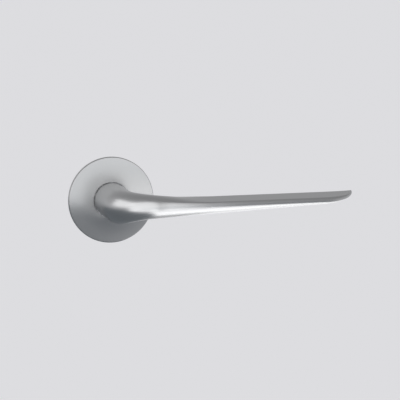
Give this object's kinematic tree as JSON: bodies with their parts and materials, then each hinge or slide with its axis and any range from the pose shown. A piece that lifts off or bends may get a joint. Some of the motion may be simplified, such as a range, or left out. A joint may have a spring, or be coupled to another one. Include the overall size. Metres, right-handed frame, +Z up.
{
  "type": "door lever handle",
  "caption": "Slim door lever on a thin round rose, with neck, sprung cassette behind the plate, square spindle and through bolts.",
  "frame": {"origin": "where the spindle axis meets the plane of the door's face, at the middle of the rose", "axes": "+X along the lever towards its tip, +Y into the door along the spindle, +Z up"},
  "size_m": [0.1645, 0.1155, 0.052],
  "materials": {
    "satin_steel": "fine satin, stainless steel",
    "zinc_plate": "bright zinc plated steel, clear passivated",
    "cast_zinc": "raw pressure casting, matt grey",
    "spring_steel": "oil tempered spring steel",
    "black_steel": "black oxide",
    "white_polymer": "moulded acetal, natural white"
  },
  "bodies": {
    "rose_plate": {"mounting_plate": "zinc_plate", "snap_ring": "spring_steel", "thrust_washer": "white_polymer", "bearing_bush": "white_polymer", "rear_bush": "white_polymer", "wave_washer": "spring_steel", "spring_housing": "cast_zinc", "return_spring": "spring_steel", "locating_post_left": "zinc_plate", "locating_post_right": "zinc_plate", "through_bolt_left": "zinc_plate", "through_bolt_right": "zinc_plate", "cassette_screw_1": "zinc_plate", "cassette_screw_2": "zinc_plate", "cassette_screw_3": "zinc_plate", "stop_pin_rest": "spring_steel", "stop_pin_travel": "spring_steel"},
    "lever": {"lever_handle": "satin_steel", "grub_screw": "black_steel", "square_spindle": "zinc_plate", "spring_driver": "zinc_plate", "retaining_ring": "spring_steel"},
    "cover": {"rose_cover": "satin_steel"}
  },
  "joints": [
    {"name": "lever_turn", "type": "hinge", "parent": "rose_plate", "child": "lever", "pos_m": [0, 0, 0], "axis": [0, 1, 0], "range_deg": [0, 45], "stiffness_Nm_per_rad": 1, "springref_deg": -34.38, "deforming": ["return_spring"]},
    {"name": "cover_pull", "type": "slide", "parent": "rose_plate", "child": "cover", "axis": [0, -1, 0], "range_m": [0, 0.02]}
  ]
}
